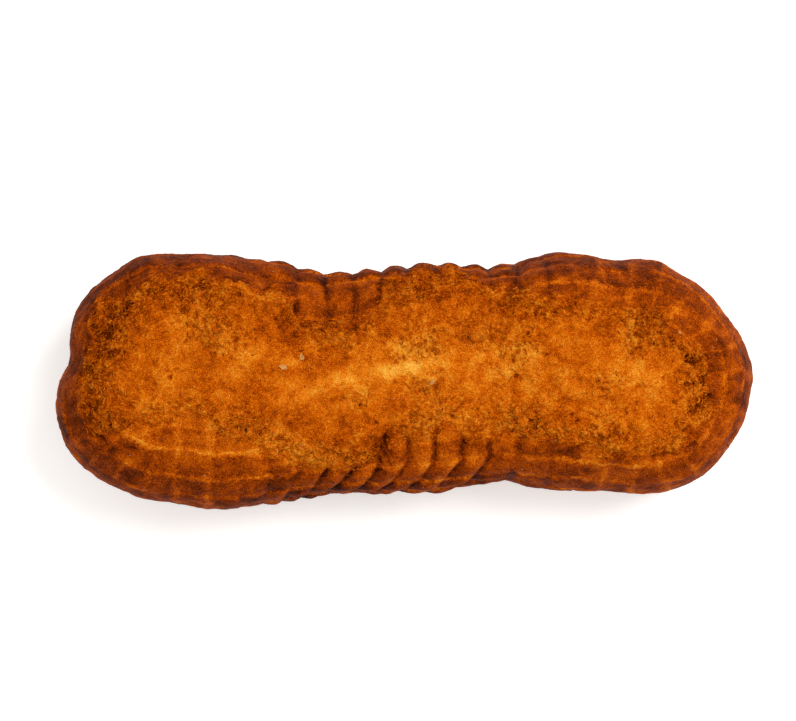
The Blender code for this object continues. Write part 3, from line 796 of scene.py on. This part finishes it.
def addNode(tree, kind, inputs=(), out=0, stops=None, **settings):
    node = tree.nodes.new("ShaderNode" + kind)
    for name, value in settings.items():
        setattr(node, name, value)
    for name, value in inputs.items() if isinstance(inputs, dict) else enumerate(inputs):
        if isinstance(value, bpy.types.NodeSocket):
            tree.links.new(value, node.inputs[name])
        else:
            node.inputs[name].default_value = value
    if stops:
        ramp = node.color_ramp
        while len(ramp.elements) < len(stops):
            ramp.elements.new(0.5)
        for element, (position, colour) in zip(ramp.elements, stops):
            element.position, element.color = position, toLinear(colour)
    return node.outputs[out] if node.outputs else None


# Fried cake dough: egg and sugar brown where the oil reached longest, so the skin is the
# darkest, the split crumb is orange, and seams that opened last stay pale gold
friedDough = {
    "browned": [
        (0.0, "#2c0c01"), (0.15, "#501b01"), (0.32, "#7e2f01"), (0.45, "#a14101"),
        (0.58, "#c05804"), (0.72, "#d16f0f"), (0.86, "#dd8f24"), (1.0, "#e8ae48"),
    ],
    "palest": (-0.2, 1.0),  # for torn crumb, taken off by roughness, and for smooth seams
    "ior": 1.45,
    "specular": 0.015,  # the crumb's own pores swallow nearly all the shine
    "skinRoughness": 0.5,  # a thin film of frying oil
    "crumbRoughness": 0.85,
    "clouds": {  # size, detail, roughness, strength in tone
        "grit": (0.18 * mm, 0.0, 0.5, 0.66),
        "grain": (0.75 * mm, 2.0, 0.6, 0.12),
        "patch": (2.8 * mm, 3.0, 0.6, 0.60),
        "mottle": (6.0 * mm, 3.0, 0.5, 0.42),
    },
    "grainShare": (0.6, 0.6),  # more of it by roughness, and this much everywhere
    "flakeSize": 0.6 * mm,  # crisp edges where one flake of crust ends over the next
    "flakeEdge": (0.46, 0.54),
    "flakeShare": (0.9, 0.35),
    "flakeTone": 0.10,
    "flakeBump": 0.18,
    "ridgeSize": 1.0 * mm,  # thin ridges of torn crumb, with painted light along them
    "ridgeWidth": 0.03,
    "ridgeShare": (2.5, 0.35),  # they show on the flakes and break off between them
    "paintedRidgeLight": 12.0,
    "ridgeBump": 9.0,
    "foldBump": 2.0,
    "lineWidth": (0.03, 0.17),  # of the lines between scales, at full strength and where they end
    "lineWander": 0.35,
    "lineGrit": 5.0,
    "bumpDepth": 0.35 * mm,
    "oilSize": 0.9 * mm,  # beads of oil that catch the light on the steep skin
    "oilAbove": (0.62, 0.66),
    "oilShare": 0.09,
    "oilRoughness": 0.3,
}


def crumbNodes(tree, where, given):  # browner and paler clouds, crisp flakes, and painted light along thin torn ridges
    add = partial(addNode, tree)
    tone, rough = given["tone"], given["rough"]
    grainShare = add("Math", (rough, *friedDough["grainShare"]), operation="MULTIPLY_ADD")
    for name, (size, detail, roughness, strength) in friedDough["clouds"].items():
        inputs = {"Vector": where, "Scale": 1 / size, "Detail": detail, "Roughness": roughness}
        cloud = add("Math", (add("TexNoise", inputs), 0.5), operation="SUBTRACT")
        if name == "grain":
            cloud = grain = add("Math", (cloud, grainShare), operation="MULTIPLY")
        tone = add("Math", (cloud, strength, tone), operation="MULTIPLY_ADD")
    flake = add("TexNoise", {"Vector": where, "Scale": 1 / friedDough["flakeSize"], "Detail": 3.0})
    low, high = friedDough["flakeEdge"]
    flake = add("MapRange", {
        "Value": flake, "From Min": low, "From Max": high, "To Min": -0.5, "To Max": 0.5})
    flakeShare = add("Math", (rough, *friedDough["flakeShare"]), operation="MULTIPLY_ADD")
    flake = add("Math", (flake, flakeShare), operation="MULTIPLY")
    tone = add("Math", (flake, friedDough["flakeTone"], tone), operation="MULTIPLY_ADD")
    # A ridge runs wherever this cloud passes its middle value
    curl = add("TexNoise", {"Vector": where, "Scale": 1 / friedDough["ridgeSize"]})
    curl = add("Math", (curl, 0.5), operation="SUBTRACT")
    ridge = add("Math", (curl,), operation="ABSOLUTE")
    ridge = add("Math", (friedDough["ridgeWidth"], ridge), operation="SUBTRACT", use_clamp=True)
    onFlake = (flake, *friedDough["ridgeShare"])
    ridgeShare = add("Math", onFlake, operation="MULTIPLY_ADD", use_clamp=True)
    ridgeShare = add("Math", (rough, ridgeShare), operation="MULTIPLY")
    ridge = add("Math", (ridge, ridgeShare), operation="MULTIPLY")
    # painted light along the thin torn ridges
    tone = add("Math", (ridge, friedDough["paintedRidgeLight"], tone), operation="MULTIPLY_ADD")
    height = add("Math", (ridge, friedDough["ridgeBump"], grain), operation="MULTIPLY_ADD")
    height = add("Math", (flake, friedDough["flakeBump"], height), operation="MULTIPLY_ADD")
    return tone, height, grain, curl


def skinNodes(tree, given, skin, tone, height, grain, curl):
    add = partial(addNode, tree)
    # Folds of the skin, drawn out along the rim
    scaleSize = (scales["long"], scales["round"])
    turns = [
        add("Math", (given[axis], size / reach), operation="MULTIPLY")
        for axis, size, reach in zip(("column", "row"), scaleSize, scales["foldSize"])]
    folds = add("TexNoise", {"Vector": add("CombineXYZ", turns), "Scale": 1.0, "Detail": 2.0})
    folds = add("Math", (folds, 0.5), operation="SUBTRACT")
    folds = add("Math", (folds, given["fold"]), operation="MULTIPLY")
    folds = add("Math", (folds, skin), operation="MULTIPLY")
    tone = add("Math", (folds, tone), operation="ADD")
    height = add("Math", (folds, friedDough["foldBump"], height), operation="MULTIPLY_ADD")
    # Lines between the scales: light and crumbly on the lobes, painted shade in the deep grooves at the
    # waist
    grit = (grain, friedDough["lineGrit"], skin)
    gritty = add("Math", grit, operation="MULTIPLY_ADD", use_clamp=True)
    gritty = add("Math", (gritty, skin), operation="MULTIPLY")
    core, end = friedDough["lineWidth"]
    for axis in ("column", "row"):
        shade = given[axis + "Line"]
        away = add("Math", (curl, friedDough["lineWander"], given[axis]), operation="MULTIPLY_ADD")
        away = add("Math", (away, 0.5), operation="PINGPONG")
        line = add("MapRange", {
            "Value": away, "From Min": core, "From Max": end, "To Min": 1.0, "To Max": 0.0})
        line = add("Math", (line, gritty), operation="MULTIPLY")
        tone = add("Math", (line, shade, tone), operation="MULTIPLY_ADD")
        height = add("Math", (line, shade, height), operation="MULTIPLY_ADD")
    return tone, height


def friedDoughMaterial():
    material = bpy.data.materials.new("friedDough")
    material.use_nodes = True
    tree = material.node_tree
    tree.nodes.clear()
    add = partial(addNode, tree)
    where = add("TexCoord", out="Object")
    names = ("crumb", "tone", "rough", "column", "row", "columnLine", "rowLine", "fold")
    given = {name: add("Attribute", out="Fac", attribute_name=name) for name in names}
    skin = add("Math", (1.0, given["crumb"]), operation="SUBTRACT")
    tone, height, grain, curl = crumbNodes(tree, where, given)
    tone, height = skinNodes(tree, given, skin, tone, height, grain, curl)
    palest = add("Math", (given["rough"], *friedDough["palest"]), operation="MULTIPLY_ADD")
    tone = add("Math", (tone, palest), operation="MINIMUM")
    colour = add("ValToRGB", (tone,), stops=friedDough["browned"])
    bump = add("Bump", {"Height": height, "Distance": friedDough["bumpDepth"]})
    gloss = add("MapRange", {
        "Value": given["crumb"],
        "To Min": friedDough["skinRoughness"], "To Max": friedDough["crumbRoughness"]})
    oil = add("TexNoise", {"Vector": where, "Scale": 1 / friedDough["oilSize"]})
    low, high = friedDough["oilAbove"]
    oil = add("MapRange", {
        "Value": oil, "From Min": low, "From Max": high, "To Max": friedDough["oilShare"]})
    oil = add("Math", (oil, skin), operation="MULTIPLY")
    shader = add("BsdfPrincipled", {
        "Base Color": colour, "IOR": friedDough["ior"], "Roughness": gloss, "Normal": bump,
        "Specular IOR Level": friedDough["specular"],
        "Coat Weight": oil, "Coat Roughness": friedDough["oilRoughness"]})
    add("OutputMaterial", {"Surface": shader})
    return material


# Specks: flour that stayed white in the folds, pale flakes, and crumbs burnt in old oil
specks = {
    "seed": 5,
    "kinds": {  # two colours, roughness, how many, size, flatness, placed ones: x, y, length
        "flourDust": (("#c08a58", "#e8cfae"), 0.9, 60, (0.08 * mm, 0.17 * mm), 0.5, []),
        "paleFlakes": (("#a8641f", "#d39a58"), 0.8, 5, (0.3 * mm, 0.5 * mm), 0.2, [
            (-23.5 * mm, 2.8 * mm, 0.95 * mm),
            (-19.9 * mm, 4.7 * mm, 0.85 * mm),
            (5.1 * mm, -0.1 * mm, 0.95 * mm),
        ]),
        "burntCrumbs": (("#120903", "#3a1c09"), 0.9, 14, (0.14 * mm, 0.28 * mm), 0.5, [
            (-30.6 * mm, -9.4 * mm, 0.5 * mm),
            (-8.7 * mm, -4.4 * mm, 0.45 * mm),
            (-29.0 * mm, 10.0 * mm, 0.3 * mm),
        ]),
    },
    "cloudSize": 0.4 * mm,
    "specular": 0.1,
}


def makeSpecks(crust, name):
    colours, roughness, count, sizes, flatness, placed = specks["kinds"][name]
    dice = random.Random(specks["seed"] + len(name))
    points = [vert.co for vert in crust.data.vertices]
    surface = BVHTree.FromPolygons(points, [face.vertices for face in crust.data.polygons])
    spots = list(placed)
    while len(spots) < len(placed) + count:
        x, y = dice.uniform(cadLow.x, cadHigh.x), dice.uniform(cadLow.y, cadHigh.y)
        spots.append((x, y, dice.uniform(*sizes)))
    grains = bmesh.new()
    for x, y, size in spots:
        place, up = surface.ray_cast(Vector((x, y, 1.0)), Vector((0, 0, -1)))[:2]
        if place is None:
            continue
        pose = Matrix.Translation(place + up * size * 0.15)
        pose @= up.to_track_quat("Z", "Y").to_matrix().to_4x4()
        pose @= Matrix.Rotation(dice.uniform(0, math.tau), 4, "Z")
        pose @= Matrix.Diagonal((size, size * dice.uniform(0.3, 0.65), size * flatness, 1))
        made = bmesh.ops.create_icosphere(grains, subdivisions=1, radius=1.0, matrix=pose)
        for vert in made["verts"]:
            vert.co += Vector([dice.uniform(-0.2, 0.2) * size for axis in range(3)])
    mesh = bpy.data.meshes.new(name)
    grains.to_mesh(mesh)
    grains.free()
    piece = bpy.data.objects.new(name, mesh)
    bpy.context.scene.collection.objects.link(piece)
    material = bpy.data.materials.new(name)
    material.use_nodes = True
    tree = material.node_tree
    tree.nodes.clear()
    where = addNode(tree, "TexCoord", out="Object")
    cloud = addNode(tree, "TexNoise", {"Vector": where, "Scale": 1 / specks["cloudSize"]})
    colour = addNode(tree, "ValToRGB", (cloud,), stops=list(zip((0.3, 0.7), colours)))
    shader = addNode(tree, "BsdfPrincipled", {
        "Base Color": colour, "Roughness": roughness, "Specular IOR Level": specks["specular"]})
    addNode(tree, "OutputMaterial", {"Surface": shader})
    mesh.materials.append(material)
    print(name, len(mesh.polygons), "triangles")
    return piece


# A pale table, soft light from above and the camera straight over the cruller
studio = {
    "paper": "#f7f5f2",
    "glow": "#a09f9d",  # the photo's table is lit to white, so the shadow on it stays faint
    "air": 0.55,
    "lights": [  # name, size, power, place
        ("windowSide", 0.35, 4.8, (0.38, 0.27, 0.74)),
        ("overhead", 1.0, 2.2, (-0.15, -0.1, 0.95)),
    ],
    "lens": 100.0,
    "widthAtRim": 160 * mm,
    "cameraX": -1.4 * mm,
    "cameraY": 4.0 * mm,
}


def makeStudio():
    scene = bpy.context.scene
    scene.view_settings.view_transform = "Standard"
    bpy.ops.mesh.primitive_plane_add(size=3.0, location=(0, 0, -0.2 * mm))
    floor = bpy.context.object
    floor.name = "floor"
    paper = bpy.data.materials.new("matPaper")
    paper.use_nodes = True
    sockets = paper.node_tree.nodes["Principled BSDF"].inputs
    sockets["Base Color"].default_value = toLinear(studio["paper"])
    sockets["Roughness"].default_value = 0.9
    sockets["Emission Color"].default_value = toLinear(studio["glow"])
    seen = addNode(paper.node_tree, "LightPath", out="Is Camera Ray")  # it lights nothing else
    paper.node_tree.links.new(seen, sockets["Emission Strength"])
    floor.data.materials.append(paper)
    world = bpy.data.worlds.new("studioAir")
    scene.world = world
    world.use_nodes = True
    sockets = world.node_tree.nodes["Background"].inputs
    sockets["Strength"].default_value = studio["air"]
    sockets["Color"].default_value = (1, 1, 1, 1)
    for name, size, power, spot in studio["lights"]:
        light = bpy.data.lights.new(name, "AREA")
        light.size = size
        light.energy = power
        holder = bpy.data.objects.new(name, light)
        holder.location = spot
        holder.rotation_euler = (-Vector(spot)).to_track_quat("-Z", "Y").to_euler()
        scene.collection.objects.link(holder)
    camera = bpy.data.cameras.new("camera")
    camera.lens = studio["lens"]
    height = stick["spineZ"] + studio["widthAtRim"] * camera.lens / camera.sensor_width
    eye = bpy.data.objects.new("camera", camera)
    eye.location = (studio["cameraX"], studio["cameraY"], height)
    scene.collection.objects.link(eye)
    scene.camera = eye


crust = makeStick()
dough = friedDoughMaterial()
doughPieces = [crust, makeGranules(crust), makeCurls(crust)]
for piece in doughPieces:
    piece.data.materials.append(dough)
for piece in doughPieces + [makeSpecks(crust, name) for name in specks["kinds"]]:
    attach(piece, "root")
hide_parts("cruller")
makeStudio()
